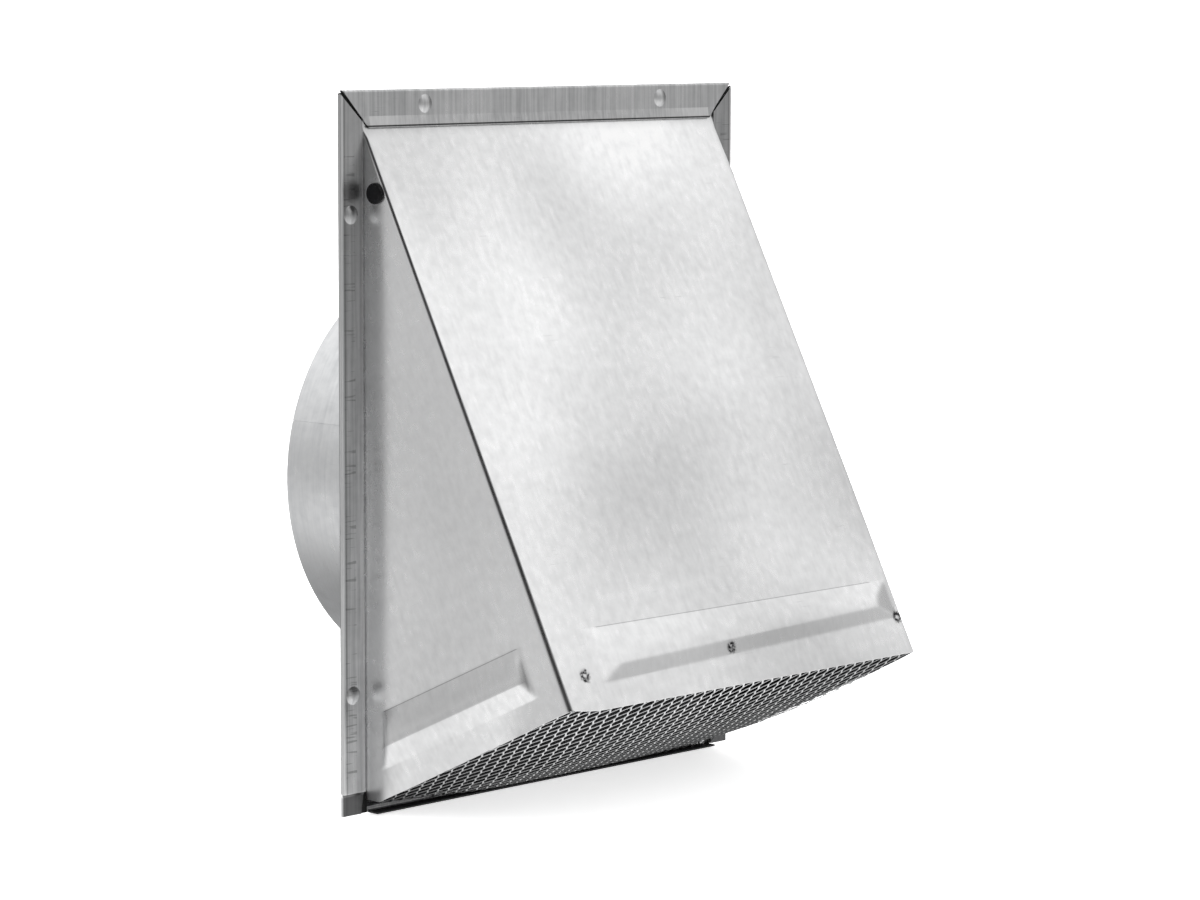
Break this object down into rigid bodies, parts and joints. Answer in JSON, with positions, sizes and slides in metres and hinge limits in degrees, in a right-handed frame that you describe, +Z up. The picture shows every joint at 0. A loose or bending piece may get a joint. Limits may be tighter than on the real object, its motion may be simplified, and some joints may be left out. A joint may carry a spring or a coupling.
{
  "type": "dryer vent cap",
  "caption": "Aluminium wall vent cap: sloping hood on a hemmed back plate, round duct collar, hanging damper flap and an expanded-metal bird screen underneath.",
  "frame": {"origin": "on the collar's axis, in the plane of the wall that the plate's back lies on", "axes": "+X to the right seen from outside, +Y into the wall along the collar, +Z up"},
  "size_m": [0.2, 0.1543, 0.2506],
  "materials": {
    "mill_aluminium": "mill finish, satin with fine roll grain",
    "screen_aluminium": "bare expanded metal",
    "rod_steel": "bright zinc",
    "black_nylon": "moulded, half gloss"
  },
  "bodies": {
    "cap": {"back_plate": "mill_aluminium", "hood": "mill_aluminium", "collar": "mill_aluminium", "bird_screen": "screen_aluminium", "left_bushing": "black_nylon", "right_bushing": "black_nylon"},
    "damper": {"damper_flap": "mill_aluminium", "hinge_rod": "rod_steel"}
  },
  "joints": [
    {"name": "damper_hinge", "type": "hinge", "parent": "cap", "child": "damper", "pos_m": [0, -0.008, 0.1045], "axis": [-1, 0, 0], "range_deg": [0, 26]}
  ]
}
